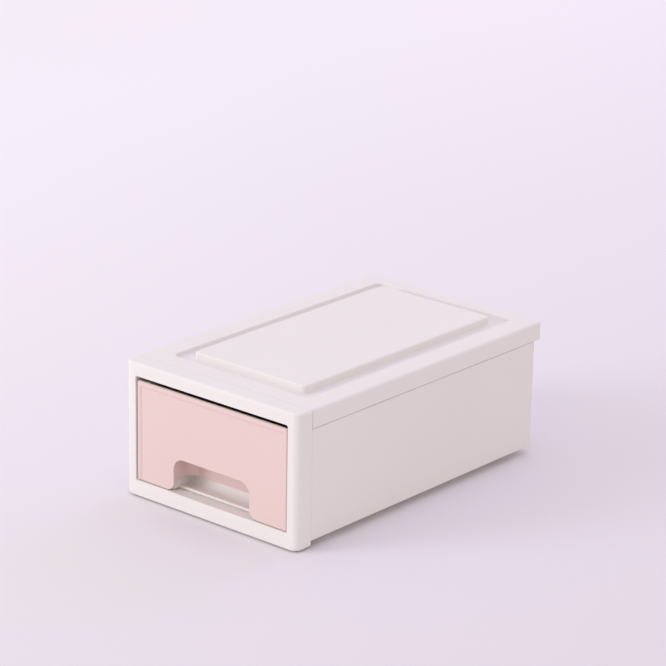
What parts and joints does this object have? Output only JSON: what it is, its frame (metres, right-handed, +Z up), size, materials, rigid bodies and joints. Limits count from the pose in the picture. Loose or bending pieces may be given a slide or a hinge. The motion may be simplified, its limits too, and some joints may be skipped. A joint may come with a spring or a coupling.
{
  "type": "stackable drawer box",
  "caption": "Low rectangular plastic cabinet with a sliding drawer, finger cut-out in the drawer front, and a raised platform on the lid for stacking.",
  "frame": {"origin": "centre of the footprint, on the surface the box stands on", "axes": "+X to the right seen from the front, +Y from the drawer front to the back, +Z up; the drawer slides out along -Y"},
  "size_m": [0.165, 0.272, 0.1041],
  "materials": {
    "white_plastic": "satin moulded polypropylene, warm white",
    "pink_plastic": "satin moulded polypropylene, blush pink"
  },
  "bodies": {
    "cabinet": {"front_frame": "white_plastic", "top_cover": "white_plastic", "left_side_panel": "white_plastic", "right_side_panel": "white_plastic", "back_panel": "white_plastic", "bottom_panel": "white_plastic"},
    "drawer": {"drawer_tray": "white_plastic", "drawer_front": "pink_plastic"}
  },
  "joints": [
    {"name": "drawer_slide", "type": "slide", "parent": "cabinet", "child": "drawer", "axis": [0, -1, 0], "range_m": [0, 0.2]}
  ]
}
